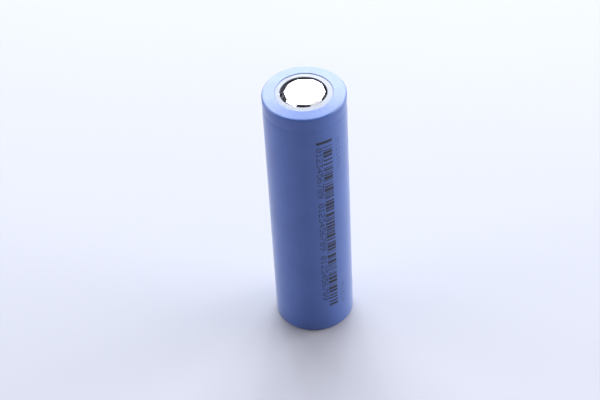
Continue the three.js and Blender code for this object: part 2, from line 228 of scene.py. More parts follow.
def wave_terms(counts, size):
    """Random terms for wave(), one for each number of waves round the circle."""
    return [(n, size * rng.uniform(0.5, 1.0), rng.uniform(0, TAU)) for n in counts]


# ---- Material helpers ----


class Paint:
    """A Principled material whose colour, roughness and bump can come from noise in the piece's own frame."""

    def __init__(self, name, colour, roughness, metallic=0.0, **inputs):
        self.colour = colour
        self.material = bpy.data.materials.new(name)
        self.material.use_nodes = True
        self.nodes = self.material.node_tree.nodes
        self.links = self.material.node_tree.links
        self.shader = self.nodes["Principled BSDF"]
        self.shader.inputs["Base Color"].default_value = (*colour, 1)
        self.shader.inputs["Roughness"].default_value = roughness
        self.shader.inputs["Metallic"].default_value = metallic
        for key, value in inputs.items():
            self.shader.inputs[key.replace("_", " ")].default_value = value
        self.place = self.nodes.new("ShaderNodeTexCoord").outputs["Object"]
        self.normal = None

    def node(self, kind, **settings):
        """A new node; each setting is one of its properties or else one of its inputs."""
        made = self.nodes.new(kind)
        for key, value in settings.items():
            if hasattr(made, key):
                setattr(made, key, value)
            else:
                made.inputs[key.replace("_", " ")].default_value = value
        return made

    def stretched(self, scale):
        """The place in the piece's frame, scaled by axis."""
        mapping = self.node("ShaderNodeMapping")
        mapping.inputs["Scale"].default_value = scale
        self.links.new(self.place, mapping.inputs["Vector"])
        return mapping.outputs["Vector"]

    def polar(self, per_radius, per_angle, per_height):
        """(radius, angle, height) as a texture place, so that noise can run round the axis."""
        split = self.node("ShaderNodeSeparateXYZ")
        self.links.new(self.place, split.inputs[0])
        squares = [self.math("MULTIPLY", split.outputs[k], split.outputs[k]) for k in (0, 1)]
        radius = self.math("SQRT", self.math("ADD", *squares))
        angle = self.math("ARCTAN2", split.outputs[1], split.outputs[0])
        join = self.node("ShaderNodeCombineXYZ")
        self.links.new(self.math("MULTIPLY", radius, per_radius), join.inputs[0])
        self.links.new(self.math("MULTIPLY", angle, per_angle), join.inputs[1])
        self.links.new(self.math("MULTIPLY", split.outputs[2], per_height), join.inputs[2])
        return join.outputs[0]

    def math(self, operation, a, b=None):
        """A math node on sockets or numbers."""
        made = self.node("ShaderNodeMath", operation=operation)
        for socket, value in zip(made.inputs, (a, b)):
            if value is None:
                continue
            if isinstance(value, (int, float)):
                socket.default_value = value
            else:
                self.links.new(value, socket)
        return made.outputs[0]

    def noise(self, scale, detail=3.0, roughness=0.5, place=None):
        made = self.node("ShaderNodeTexNoise", Scale=scale, Detail=detail, Roughness=roughness)
        self.links.new(place or self.place, made.inputs["Vector"])
        return made.outputs["Fac"]

    def spots(self, scale):
        """Distance to the nearest of many scattered points."""
        made = self.node("ShaderNodeTexVoronoi", Scale=scale)
        self.links.new(self.place, made.inputs["Vector"])
        return made.outputs["Distance"]

    def ranged(self, value, low, high, from_low=0.3, from_high=0.7):
        """A value rescaled to low..high, and held inside it."""
        made = self.node("ShaderNodeMapRange", From_Min=from_low, From_Max=from_high, To_Min=low, To_Max=high)
        self.links.new(value, made.inputs["Value"])
        return made.outputs["Result"]

    def colours(self, value, *stops):
        """Base colour from a value through (position, colour) stops."""
        ramp = self.node("ShaderNodeValToRGB")
        elements = ramp.color_ramp.elements
        while len(elements) < len(stops):
            elements.new(0.5)
        for element, (position, colour) in zip(elements, stops):
            element.position = position
            element.color = (*colour, 1)
        self.links.new(value, ramp.inputs["Fac"])
        self.links.new(ramp.outputs["Color"], self.shader.inputs["Base Color"])

    def tone(self, value, dark, light, start=0.3, end=0.7):
        """Base colour from a darker to a lighter version of the material's own."""
        low, high = shades(self.colour, dark, light)
        self.colours(value, (start, low), (end, high))

    def rough(self, value, low, high):
        """Roughness that varies between low and high."""
        self.links.new(self.ranged(value, low, high), self.shader.inputs["Roughness"])

    def bump(self, value, height):
        """Relief of that height in millimetres, on top of any relief so far."""
        made = self.node("ShaderNodeBump", Strength=1.0, Distance=height * MM)
        self.links.new(value, made.inputs["Height"])
        if self.normal:
            self.links.new(self.normal, made.inputs["Normal"])
        self.normal = made.outputs["Normal"]
        self.links.new(self.normal, self.shader.inputs["Normal"])


def shades(colour, *factors):
    """Darker or lighter versions of a colour."""
    return [tuple(min(c * f, 1.0) for c in colour) for f in factors]


def finish_piece(obj, paint, slot, *nodes, body="cell"):
    """Paints a piece, says which CAD nodes it replaces, and lets it ride on its body."""
    obj.data.materials.clear()
    obj.data.materials.append(paint.material)
    if nodes:
        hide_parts(*nodes)
    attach(obj, body)


# ---- Materials ----

FILM_BLUE = (0.055, 0.118, 0.40)


def film_paint():
    """Satin blue film: a faint mottle, a slight orange peel, and fine handling marks."""
    paint = Paint("film_blue", FILM_BLUE, 0.3, IOR=1.57, Sheen_Weight=0.29, Sheen_Roughness=0.35,
                  Sheen_Tint=(1.0, 0.98, 0.82, 1))
    mottle = paint.noise(140, 4)
    low, mid, high = shades(FILM_BLUE, 0.93, 1.0, 1.06)
    paint.colours(mottle, (0.3, low), (0.5, mid), (0.7, high))
    paint.rough(paint.noise(520, 3), 0.285, 0.335)
    paint.bump(paint.noise(1100, 2), 0.0035)
    paint.bump(paint.noise(2600, 3, 0.6), 0.0012)
    paint.bump(paint.noise(1.0, 2, 0.5, paint.polar(60, 5, 260)), 0.004)
    return paint


# Positions and colours, from dense ink to ink so thin that the film shows through.
INK_STOPS = ((0.36, (0.010, 0.012, 0.022)), (0.56, (0.018, 0.022, 0.045)), (0.74, (0.045, 0.066, 0.19)))
FAINT_INK_STOPS = ((0.34, (0.024, 0.032, 0.07)), (0.66, (0.055, 0.085, 0.26)))


def ink_paint(name, colour, roughness, relief, stops):
    """Sprayed ink, thinner in places."""
    paint = Paint(name, colour, 0.5)
    paint.colours(paint.noise(1500, 4, 0.7), *stops)
    paint.rough(paint.noise(2200, 3), *roughness)
    paint.bump(paint.noise(6000, 3), relief)
    return paint


def fibre_paint():
    """White pressed fibre: short fibres in three directions, and a little unevenness in tone."""
    paint = Paint("fibre_white", (0.338, 0.360, 0.442), 0.5, Specular_IOR_Level=0.35)
    paint.tone(paint.noise(700, 5, 0.65), 0.90, 1.03)
    paint.rough(paint.noise(1800, 3), 0.42, 0.6)
    for stretch in ((900, 6500, 6500), (6500, 900, 6500), (4200, 3800, 1200)):
        paint.bump(paint.noise(1.0, 4, 0.65, paint.stretched(stretch)), 0.003)
    return paint


def nickel_paint(name, colour, low, high, grain):
    """Nickel plate over stamped steel: turned grain, fine scratches and soft smudges."""
    paint = Paint(name, colour, (low + high) / 2, 1.0)
    smudge = paint.noise(260, 4, 0.6)
    dull, plain, bright = shades(colour, 0.86, 1.0, 1.04)
    paint.colours(smudge, (0.3, dull), (0.5, plain), (0.75, bright))
    paint.rough(paint.noise(420, 5, 0.65), low, high)
    paint.bump(paint.noise(1.0, 3, 0.6, paint.polar(grain, 9, grain)), 0.0012)
    scratches = paint.noise(1.0, 2, 0.7, paint.stretched((600, 9000, 2000)))
    paint.bump(paint.ranged(scratches, 0, 1, 0.66, 0.76), 0.0015)
    return paint


def metal_paint(name, colour, roughness, stretch):
    """Rolled metal with its grain along the strip."""
    paint = Paint(name, colour, roughness, 1.0)
    paint.tone(paint.noise(500, 4, 0.6), 0.88, 1.03)
    grain = paint.noise(1.0, 3, 0.6, paint.stretched(stretch))
    paint.rough(grain, roughness * 0.75, roughness * 1.3)
    paint.bump(grain, 0.0015)
    return paint


def plastic_paint(name, colour, roughness, **inputs):
    """Moulded plastic with a fine spark-eroded grain."""
    paint = Paint(name, colour, roughness, 0.0, **inputs)
    paint.tone(paint.noise(350, 4), 0.92, 1.04)
    paint.rough(paint.noise(1500, 4), roughness * 0.85, roughness * 1.15)
    paint.bump(paint.noise(5000, 3), 0.002)
    return paint


def coating_paint(name, colour, roughness):
    """Rolled electrode coating: a fine grain of particles with faint streaks along the web."""
    paint = Paint(name, colour, roughness)
    streak = paint.noise(1.0, 3, 0.5, paint.stretched((60, 60, 900)))
    paint.tone(streak, 0.85, 1.15, 0.35, 0.65)
    paint.rough(paint.noise(3000, 4), roughness * 0.88, min(roughness * 1.1, 1.0))
    paint.bump(paint.spots(14000), 0.004)
    paint.bump(paint.noise(9000, 4, 0.7), 0.003)
    return paint


def web_paint(name, colour, roughness, **inputs):
    """Thin film: a faint haze and shallow creases along its length."""
    paint = Paint(name, colour, roughness, 0.0, **inputs)
    paint.tone(paint.noise(240, 4), 0.95, 1.02)
    paint.rough(paint.noise(900, 4), roughness * 0.85, roughness * 1.2)
    paint.bump(paint.noise(1.0, 3, 0.6, paint.stretched((900, 900, 90))), 0.003)
    return paint


PAINT = {
    "film": film_paint(),
    "ink": ink_paint("print_ink", (0.01, 0.012, 0.02), (0.45, 0.62), 0.0015, INK_STOPS),
    "faint_ink": ink_paint("print_ink_faint", (0.03, 0.04, 0.09), (0.42, 0.55), 0.001, FAINT_INK_STOPS),
    "fibre": fibre_paint(),
    # The cap's nickel is tinted blue: a painted reflection of the bluish room light, not the metal's own
    # colour.
    "cap": nickel_paint("cap_nickel_painted_blue_reflection", (0.83, 0.81, 0.88), 0.28, 0.34, 16000),
    "can": nickel_paint("can_nickel", (0.70, 0.69, 0.67), 0.28, 0.42, 9000),
    "gasket": plastic_paint("gasket_black", (0.028, 0.028, 0.034), 0.42),
    "ptc": plastic_paint("ptc_grey", (0.050, 0.045, 0.042), 0.6),
    "vent": metal_paint("vent_aluminium", (0.80, 0.81, 0.83), 0.34, (500, 9000, 9000)),
    "lead": metal_paint("lead_aluminium", (0.79, 0.80, 0.82), 0.30, (600, 9000, 600)),
    "nickel_strip": metal_paint("lead_nickel", (0.72, 0.69, 0.63), 0.32, (600, 9000, 600)),
    "copper": metal_paint("foil_copper", (0.80, 0.42, 0.27), 0.30, (600, 9000, 600)),
    "pin": metal_paint("pin_steel", (0.58, 0.59, 0.61), 0.30, (9000, 9000, 300)),
    "white": plastic_paint("header_white", (0.78, 0.76, 0.71), 0.5),
    "disc": web_paint("insulator_white", (0.80, 0.79, 0.74), 0.45),
    "cathode": coating_paint("cathode_black", (0.016, 0.016, 0.018), 0.88),
    "anode": coating_paint("anode_graphite", (0.040, 0.040, 0.043), 0.72),
    "separator": web_paint("separator_white", (0.84, 0.85, 0.86), 0.38),
    "amber": web_paint("tape_amber", (0.62, 0.34, 0.035), 0.28, Coat_Weight=0.4),
    "green": web_paint("tape_green", (0.045, 0.24, 0.13), 0.3, Coat_Weight=0.3),
}


# ---- Sleeve ----

TOP_OPENING = 6.25  # radius of the hole in the film at the top
BASE_OPENING = 6.7  # and at the base
SHOULDER = 0.4  # radius of the film's bend over the crimp
FOOT = 0.45  # and round the base
CRIMP_SLOPE = 0.1  # the crimp and all that lies on it rise this much per millimetre towards the axis
BEAD_HEIGHT = 61.87  # middle of the groove that is rolled into the can
BEAD_DIP = 0.055  # how far the film sinks over the groove
BEAD_DIP_WIDTH = 0.55
CREASE_RISE = 0.016
CREASE_WIDTH = 0.22
CREASE_ENDS = (0.8, 3.0)  # the creases fade in between these distances from either end
WALL_STEP = 1.9  # between the film's rings, up to the bead
BEAD_STEP = 0.16  # and over it
CREASES = (math.radians(12), math.radians(192))  # the film was packed flat, and keeps two faint folds

edge_waves = [(2, -0.03, math.pi / 2)] + wave_terms((3, 5, 8, 13), 0.015)
base_waves = wave_terms((2, 4, 7, 11, 17), 0.03)
pucker_waves = wave_terms((23, 31, 38, 47, 59), 0.0045)
base_pucker_waves = wave_terms((19, 27, 33, 41, 52), 0.009)
wall_waves = wave_terms((2, 3, 5, 7), 0.006)


def smooth_step(x, low, high):
    """0 below low, 1 above high, and a smooth rise between."""
    t = min(max((x - low) / (high - low), 0.0), 1.0)
    return t * t * (3 - 2 * t)


def crimp_drop(r):
    """How far a sloping layer of the crimp lies below its height at the sleeve's opening."""
    return CRIMP_SLOPE * (r - TOP_OPENING)


def sleeve_warp(r, z, angle):
    """Small departures of the shrunk film from a true turned shape."""
    top = 1.0 if z > LENGTH / 2 else 0.0
    base = 1.0 - top
    inward = smooth_step(RADIUS - r, 0.5, RADIUS - TOP_OPENING)
    edge_top = smooth_step(TOP_OPENING + 0.5 - r, 0.0, 0.5) * top
    edge_base = smooth_step(BASE_OPENING + 0.7 - r, 0.0, 0.7) * base
    wr = r + edge_top * wave(angle, edge_waves) + edge_base * wave(angle, base_waves)
    wz = z - top * inward * (0.012 + wave(angle, pucker_waves)) * 0.6
    wz += base * inward * max(0.02 + wave(angle, base_pucker_waves), 0.0) * 0.6
    start, end = CREASE_ENDS
    if start < z < LENGTH - start:
        crease = 0.0
        for place in CREASES:
            away = (angle - place + math.pi) % TAU - math.pi
            crease += CREASE_RISE * math.exp(-((away * RADIUS / CREASE_WIDTH) ** 2))
        fade = smooth_step(z, start, end) * (1 - smooth_step(z, LENGTH - end, LENGTH - start))
        wr += fade * (crease - 0.02 + 0.5 * wave(angle + 0.02 * z, wall_waves))
    return wr, wz


def bead_dip(z):
    """How far the film sinks over the can's bead."""
    return BEAD_DIP * math.exp(-(((z - BEAD_HEIGHT) / BEAD_DIP_WIDTH) ** 2))


def sleeve_profile():
    """The film's section: up the outside from the base opening, over the shoulder, and down the inside."""
    foot = RADIUS - FOOT
    shoulder = RADIUS - SHOULDER
    bend = LENGTH - SHOULDER - crimp_drop(shoulder)
    slope = math.degrees(math.atan(CRIMP_SLOPE))
    low_wall = [FOOT + 0.6 + k * WALL_STEP for k in range(30)]
    wall = low_wall + [low_wall[-1] + BEAD_STEP * k for k in range(1, 40)]
    wall = [z for z in wall if z < bend - 0.08]
    outer = [(BASE_OPENING + 0.03, 0.0), (BASE_OPENING + 0.5, 0.0), (7.6, 0.0)]
    outer += arc(foot, FOOT, FOOT, -90, 0, 10)
    outer += [(RADIUS - bead_dip(z), z) for z in wall]
    outer += arc(shoulder, bend, SHOULDER, 0, 90 - slope, 12)
    outer += [(r, LENGTH - crimp_drop(r)) for r in (8.3, 7.9, 7.5, 7.1, 6.7, TOP_OPENING + 0.2)]
    outer += [(TOP_OPENING + 0.07, LENGTH - 0.01), (TOP_OPENING + 0.02, LENGTH - 0.025)]
    outer += [(TOP_OPENING, LENGTH - 0.05)]
    inner = [(TOP_OPENING + 0.02, LENGTH - FILM + 0.01), (TOP_OPENING + 0.06, LENGTH - FILM)]
    inner += [(7.2, LENGTH - FILM - crimp_drop(7.2))]
    inner += arc(shoulder, bend, SHOULDER - FILM, 90 - slope, 0, 8)
    inner += [(RADIUS - FILM - bead_dip(z), z) for z in reversed(wall[::2])]
    inner += arc(foot, FOOT, FOOT - FILM, 0, -90, 6)
    inner += [(7.4, FILM), (BASE_OPENING + 0.05, FILM), (BASE_OPENING + 0.01, FILM - 0.015)]
    inner += [(BASE_OPENING, 0.05)]
    return outer + inner


sleeve = revolve("sleeve", sleeve_profile(), 360, warp=sleeve_warp, smooth_angle=50)
finish_piece(sleeve, PAINT["film"], "sleeve_film", "shrink_sleeve")


# ---- Print on the sleeve: plain bars and counting digits ----

INK = 0.006  # how far the ink stands above the film
INK_ROOT = -0.004  # and its underside, inside the film
PRINT_LEFT, BARS_LEFT, BARS_RIGHT = 12.6, 22.2, 36.0  # degrees from the front towards +X
BARS_FOOT, BARS_HEAD = 7.6, 56.6
HEAD_BAR = (57.6, 58.3)
BAR_WIDTHS = (0.24, 0.24, 0.45, 0.45, 0.68, 0.9)
BAR_SPACES = (0.24, 0.24, 0.30, 0.45, 0.68)
BAR_STAGGER = 0.3  # how far, in degrees, the ends of a bar stray


def on_film(angle_degrees, z, lift):
    """A point that far above the film, at an azimuth in degrees from the front towards +X."""
    angle = math.radians(angle_degrees - 90)
    r, _ = sleeve_warp(RADIUS - bead_dip(z), z, angle % TAU)
    return ((r + lift) * math.cos(angle), (r + lift) * math.sin(angle), z)


def ink_patch(vertices, faces, left, right, low, high, columns):
    """A thin closed curved rectangle of ink."""
    start = len(vertices)
    for lift in (INK_ROOT, INK):
        for k in range(columns + 1):
            a = left + (right - left) * k / columns
            vertices.append(on_film(a, low, lift))
            vertices.append(on_film(a, high, lift))
    row = 2 * (columns + 1)
    for k in range(columns):
        a = start + 2 * k
        b = a + row
        faces.append((b, b + 2, b + 3, b + 1))
        faces.append((a, a + 1, a + 3, a + 2))
        faces.append((a, a + 2, b + 2, b))
        faces.append((a + 1, b + 1, b + 3, a + 3))
    end = start + 2 * columns
    faces.append((start, start + row, start + row + 1, start + 1))
    faces.append((end, end + 1, end + row + 1, end + row))


def ink_dot(vertices, faces, angle, z, size):
    """A thin closed eight-sided dot of ink."""
    start = len(vertices)
    sides = 8
    for lift in (INK_ROOT, INK):
        for k in range(sides):
            t = TAU * (k + 0.5) / sides
            aside = math.degrees(size * math.cos(t) / RADIUS)
            vertices.append(on_film(angle + aside, z + size * math.sin(t), lift))
    faces.append(tuple(start + sides + k for k in range(sides)))
    faces.append(tuple(start + k for k in reversed(range(sides))))
    join_rings(faces, start, start + sides, sides)


def print_bars():
    """One wide bar above a column of bars of mixed widths, each running part of the way round the sleeve."""
    vertices, faces = [], []
    ink_patch(vertices, faces, PRINT_LEFT, BARS_RIGHT, *HEAD_BAR, 16)
    z = BARS_FOOT
    while z < BARS_HEAD:
        width = rng.choice(BAR_WIDTHS)
        right = BARS_RIGHT + rng.uniform(-BAR_STAGGER, BAR_STAGGER)
        left = BARS_LEFT + rng.uniform(-BAR_STAGGER, BAR_STAGGER)
        ink_patch(vertices, faces, left, right, z, z + width, 10)
        z += width + rng.choice(BAR_SPACES)
    return mesh_object("print_bars", vertices, faces)


COUNT = "0123456789"
DIGIT_STEP = 6  # five columns of dots and a space
DOT_STRAY = 0.012  # how far a dot strays along the sleeve
DOT_STRAY_ANGLE = 0.06  # and round it, in degrees
# The steps between dots along the sleeve and, in degrees, round it, and the radius of a dot.
LARGE_DOTS = (0.245, 1.27, 0.125)
SMALL_DOTS = (0.22, 1.05, 0.085)
SMALL_PRINT_LEFT = 43.5
# Each digit as seven rows of five dots.
DIGITS = (
    "01110 10001 10011 10101 11001 10001 01110",
    "00100 01100 00100 00100 00100 00100 01110",
    "01110 10001 00001 00110 01000 10000 11111",
    "11111 00010 00100 00010 00001 10001 01110",
    "00010 00110 01010 10010 11111 00010 00010",
    "11111 10000 11110 00001 00001 10001 01110",
    "00110 01000 10000 11110 10001 10001 01110",
    "11111 00001 00010 00100 01000 01000 01000",
    "01110 10001 10001 01110 10001 10001 01110",
    "01110 10001 10001 01111 00001 00010 01100",
)


def print_digits(name, text, left, top, dots):
    """Dots that spell counting digits down the sleeve, with their tops towards the right."""
    cell_z, cell_angle, size = dots
    vertices, faces = [], []
    z = top
    for mark in text:
        rows = DIGITS[int(mark)].split() if mark != " " else []
        for down, row in enumerate(rows):
            for across, filled in enumerate(row):
                if filled == "1":
                    angle = left + (len(rows) - 1 - down) * cell_angle
                    angle += rng.uniform(-DOT_STRAY_ANGLE, DOT_STRAY_ANGLE)
                    height = z - across * cell_z + rng.uniform(-DOT_STRAY, DOT_STRAY)
                    ink_dot(vertices, faces, angle, height, size)
        z -= DIGIT_STEP * cell_z
    return mesh_object(name, vertices, faces)


finish_piece(print_bars(), PAINT["ink"], None)
digits = print_digits("print_digits", " ".join([COUNT] * 3), PRINT_LEFT, BARS_HEAD, LARGE_DOTS)
finish_piece(digits, PAINT["ink"], None)
for name, text, top in (("print_small_top", COUNT[:7], 57.4), ("print_small_base", COUNT[:5], 13.0)):
    small = print_digits(name, text, SMALL_PRINT_LEFT, top, SMALL_DOTS)
    finish_piece(small, PAINT["faint_ink"], None)


# ---- Top: fibre washer and positive cap ----

WASHER_LOW, WASHER_HIGH = node_box("top_insulator_ring")
WASHER_SHIFT = ((WASHER_LOW[0] + WASHER_HIGH[0]) / 2, 0)
WASHER_BORE = 5.12
WASHER_SHEET = 0.24
WASHER_OUTER = (WASHER_HIGH[0] - WASHER_LOW[0]) / 2
bore_waves = wave_terms((3, 6, 11, 29, 53, 97), 0.008)


def washer_warp(r, z, angle):
    """The washer follows the slope of the crimp, and its punched bore is a little ragged."""
    near_bore = smooth_step(WASHER_BORE + 0.25 - r, 0.0, 0.25)
    return r + near_bore * wave(angle, bore_waves), z - crimp_drop(r) - 0.006 * near_bore


WASHER_TOP = LENGTH - FILM - GAP
WASHER_UNDER = WASHER_TOP - WASHER_SHEET
washer_profile = [(WASHER_BORE, WASHER_UNDER, 0.03), (WASHER_OUTER - 0.02, WASHER_UNDER, 0.05)]
washer_profile += [(WASHER_OUTER - 0.02, WASHER_TOP, 0.05), (6.2, WASHER_TOP), (5.6, WASHER_TOP)]
washer_profile += [(WASHER_BORE, WASHER_TOP, 0.045)]
washer = revolve("fibre_washer", rounded(washer_profile), 360, WASHER_SHIFT, washer_warp, smooth_angle=60)
finish_piece(washer, PAINT["fibre"], "fibre_washer", "top_insulator_ring")

CAP_LOW, CAP_HIGH = node_box("positive_cap")
CAP_TOP = CAP_HIGH[2]
CAP_SHEET = 0.35
FLANGE_TOP = CAP_LOW[2] + CAP_SHEET
FLANGE_OUTER = CAP_HIGH[0]
FLANGE_BORE = 5.25
LEG_COUNT = 5
LEG_WIDTH = 2.85
LEG_HEAD = 4.12  # where a leg leaves the disc
EDGE_BULGE = 0.05  # of the disc's edge between two legs
DISH = 0.018  # how far the middle of the disc lies below its edge
DISC_SHIFT = 0.16  # the cap's disc was pressed this far off the axis, towards +X
LEG_PITCH = TAU / LEG_COUNT
LEG_ANGLES = [math.radians(14) + leg * LEG_PITCH for leg in range(LEG_COUNT)]
LEG_COLUMNS, LEG_ROWS, WINDOW_COLUMNS = 12, 16, 24  # faces across a leg, down it, and between two legs
LEG_SIDES = [-LEG_WIDTH / 2 + LEG_WIDTH * k / LEG_COLUMNS for k in range(LEG_COLUMNS + 1)]
# The disc has rings of points at these shares of its outline, and the flange at these shares of its width.
DISC_RINGS = (0.02, 0.15, 0.3, 0.45, 0.6, 0.72, 0.82, 0.9, 0.95, 0.98, 1.0)
FLANGE_RINGS = (0.0, 0.3, 1.0)


def cap_height(distance):
    """Height of the cap's upper face along a leg, by distance from the axis: a slope with soft bends."""
    slope = smooth_step(distance, LEG_HEAD - 0.12, FLANGE_BORE - 0.05)
    return CAP_TOP + (FLANGE_TOP - CAP_TOP) * slope


def turned(x, y, angle):
    """A point turned about the axis."""
    c, s = math.cos(angle), math.sin(angle)
    return x * c - y * s, x * s + y * c


def leg_rows(angle):
    """Rows of points down one leg, from the disc's edge to the flange."""
    rows = []
    for k in range(LEG_ROWS + 1):
        row = []
        for y in LEG_SIDES:
            reach = LEG_HEAD + (math.sqrt(FLANGE_BORE**2 - y * y) - LEG_HEAD) * k / LEG_ROWS
            row.append((*turned(reach, y, angle), cap_height(reach)))
        rows.append(row)
    return rows


def disc_outline():
    """The disc's edge, straight at a leg and a little bulged between two, and which points are at a leg."""
    half = LEG_WIDTH / 2
    head_half = math.atan2(half, LEG_HEAD)
    window_half = LEG_PITCH / 2 - head_half
    corner = math.hypot(LEG_HEAD, half)
    rim, on_leg = [], []
    for angle in LEG_ANGLES:
        rim += [turned(LEG_HEAD, y, angle) for y in LEG_SIDES[:-1]]
        on_leg += [True] * LEG_COLUMNS + [False] * WINDOW_COLUMNS
        for k in range(WINDOW_COLUMNS):
            t = k / WINDOW_COLUMNS
            a = angle + head_half + 2 * window_half * t
            edge = corner * math.cos(window_half) / math.cos(window_half * (2 * t - 1))
            edge += EDGE_BULGE * math.sin(math.pi * t)
            rim.append((edge * math.cos(a), edge * math.sin(a)))
    return rim + rim[:1], on_leg + [True]


def bore_outline():
    """The flange's inner edge, with points that meet those at the foot of each leg."""
    foot_half = math.asin(LEG_WIDTH / 2 / FLANGE_BORE)
    bore = []
    for angle in LEG_ANGLES:
        bore += [turned(math.sqrt(FLANGE_BORE**2 - y * y), y, angle) for y in LEG_SIDES[:-1]]
        for k in range(WINDOW_COLUMNS):
            a = angle + foot_half + (LEG_PITCH - 2 * foot_half) * (k / WINDOW_COLUMNS)
            bore.append((FLANGE_BORE * math.cos(a), FLANGE_BORE * math.sin(a)))
    return bore + bore[:1]


def disc_rows(rim, on_leg):
    """Rings of points over the slightly dished disc. Its edge bends down where a leg begins."""
    rows = []
    for share in DISC_RINGS:
        places = [(x * share, y * share) for x, y in rim]
        dish = [DISH * (1 - smooth_step(math.hypot(x, y), 0.5, 4.0)) for x, y in places]
        rows.append([(x, y, CAP_TOP - depth) for (x, y), depth in zip(places, dish)])
    for ring in rows[-3:]:
        for k, (x, y, z) in enumerate(ring):
            if on_leg[k]:
                distance = math.hypot(x, y) * LEG_HEAD / math.hypot(*rim[k])
                ring[k] = (x, y, min(z, cap_height(distance)))
    return rows


def flange_rows(bore):
    """Rings of points over the flat flange."""
    rows = []
    for share in FLANGE_RINGS:
        ring = []
        for x, y in bore:
            r = math.hypot(x, y)
            scale = (r + (FLANGE_OUTER - r) * share) / r
            ring.append((x * scale, y * scale, FLANGE_TOP))
        rows.append(ring)
    return rows


def add_grid(vertices, faces, rows):
    """Adds a sheet through rows of the same number of points."""
    start, count = len(vertices), len(rows[0])
    vertices += [p for row in rows for p in row]
    for i in range(len(rows) - 1):
        for k in range(count - 1):
            a = start + i * count + k
            faces.append((a, a + 1, a + count + 1, a + count))


def cap_surface():
    """The cap's upper face: a disc, five legs and a flange, as sheets that share their edges."""
    vertices, faces = [], []
    for angle in LEG_ANGLES:
        add_grid(vertices, faces, leg_rows(angle))
    rim, on_leg = disc_outline()
    add_grid(vertices, faces, disc_rows(rim, on_leg))
    start, middle = len(vertices), DISC_RINGS[0]
    vertices += [(x * middle, y * middle, CAP_TOP - DISH) for x, y in reversed(rim[:-1])]
    faces.append(tuple(range(start, len(vertices))))
    add_grid(vertices, faces, flange_rows(bore_outline()))
    for k, (x, y, z) in enumerate(vertices):
        share = 1 - smooth_step(math.hypot(x, y), LEG_HEAD, FLANGE_BORE)
        vertices[k] = (x + DISC_SHIFT * share, y, z)
    return mesh_object("cap", vertices, faces)


cap = cap_surface()
thicken(cap, CAP_SHEET, 0.045, 50, even=True)
finish_piece(cap, PAINT["cap"], "cap_steel", "positive_cap")


# ---- Can ----

CAN_LOW, CAN_HIGH = node_box("can")
CAN_RADIUS = CAN_HIGH[0]
CRIMP_TOP = WASHER_TOP - 0.25 - GAP
CAN_BASE = FILM + GAP
CAN_WALL = 0.22
MOUTH_WALL = 0.25  # the can is drawn thicker at the mouth
CAN_FOOT = FOOT - FILM - GAP
CRIMP = 0.5  # radius of the crimp's outer bend
LIP = 6.75  # inner radius of the crimp
GROOVE_DEPTH = 1.3
GROOVE_BEND = 0.5
GROOVE = CAN_RADIUS - GROOVE_DEPTH + GROOVE_BEND
PAD = 6.3  # radius of the pressed-out middle of the base


def can_profile():
    """The can's section: out along the base, up the outside to the lip, and down the inside."""
    foot = CAN_RADIUS - CAN_FOOT
    shoulder = CAN_RADIUS - CRIMP
    bend = CRIMP_TOP - CRIMP - crimp_drop(shoulder)
    lip_top = CRIMP_TOP - crimp_drop(LIP)
    floor = CAN_BASE + 0.3
    mouth = CAN_RADIUS - MOUTH_WALL
    inner = CAN_RADIUS - CAN_WALL
    shelf = BEAD_HEIGHT + GROOVE_BEND + CAN_WALL
    pad = CAN_LOW[2]
    bead = BEAD_HEIGHT
    out = [(0, pad + 0.03), (0.55, pad + 0.03), (0.85, pad + 0.012), (1.1, pad), (2.4, pad), (4.2, pad)]
    out += [(PAD - 0.35, pad), (PAD - 0.2, pad + 0.012), (PAD - 0.08, pad + 0.05)]
    out += [(PAD + 0.05, CAN_BASE - 0.008), (PAD + 0.2, CAN_BASE), (7.4, CAN_BASE)]
    out += arc(foot, CAN_BASE + CAN_FOOT, CAN_FOOT, -90, 0, 10)
    out += [(CAN_RADIUS, bead - 1.2), (CAN_RADIUS, bead - 0.78), (CAN_RADIUS - 0.05, bead - 0.64)]
    out += [(CAN_RADIUS - 0.2, bead - 0.54)]
    out += arc(GROOVE, bead, GROOVE_BEND, 270, 90, 14)
    out += [(CAN_RADIUS - 0.2, bead + 0.5), (CAN_RADIUS - 0.06, bead + 0.55), (CAN_RADIUS, bead + 0.7)]
    out += arc(shoulder, bend, CRIMP, 0, 85, 12)
    out += [(6.9, lip_top - 0.01), (6.8, lip_top - 0.03), (LIP, lip_top - 0.1)]
    out += [(LIP, lip_top - MOUTH_WALL + 0.02), (6.78, lip_top - MOUTH_WALL)]
    out += arc(shoulder, bend, CRIMP - MOUTH_WALL, 85, 0, 10)
    out += [(mouth, shelf + 0.05), (mouth - 0.05, shelf)]
    out += arc(GROOVE, bead, GROOVE_BEND + CAN_WALL, 90, 270, 14)
    out += [(CAN_RADIUS - 0.4, bead - 0.77), (inner, bead - 0.98), (inner, bead - 1.5)]
    out += arc(inner - 0.5, floor + 0.5, 0.5, 0, -90, 6)
    out += [(4.0, floor), (0, floor)]
    return out


can = revolve("can_body", can_profile(), 256, smooth_angle=40)
finish_piece(can, PAINT["can"], "can_steel", "can")


# ---- Header, clamped in the crimp ----


def turned_piece(name, profile, paint, slot, node):
    """A turned piece with eased corners, in the place of a CAD node."""
    finish_piece(revolve(name, rounded(profile)), PAINT[paint], slot, node)


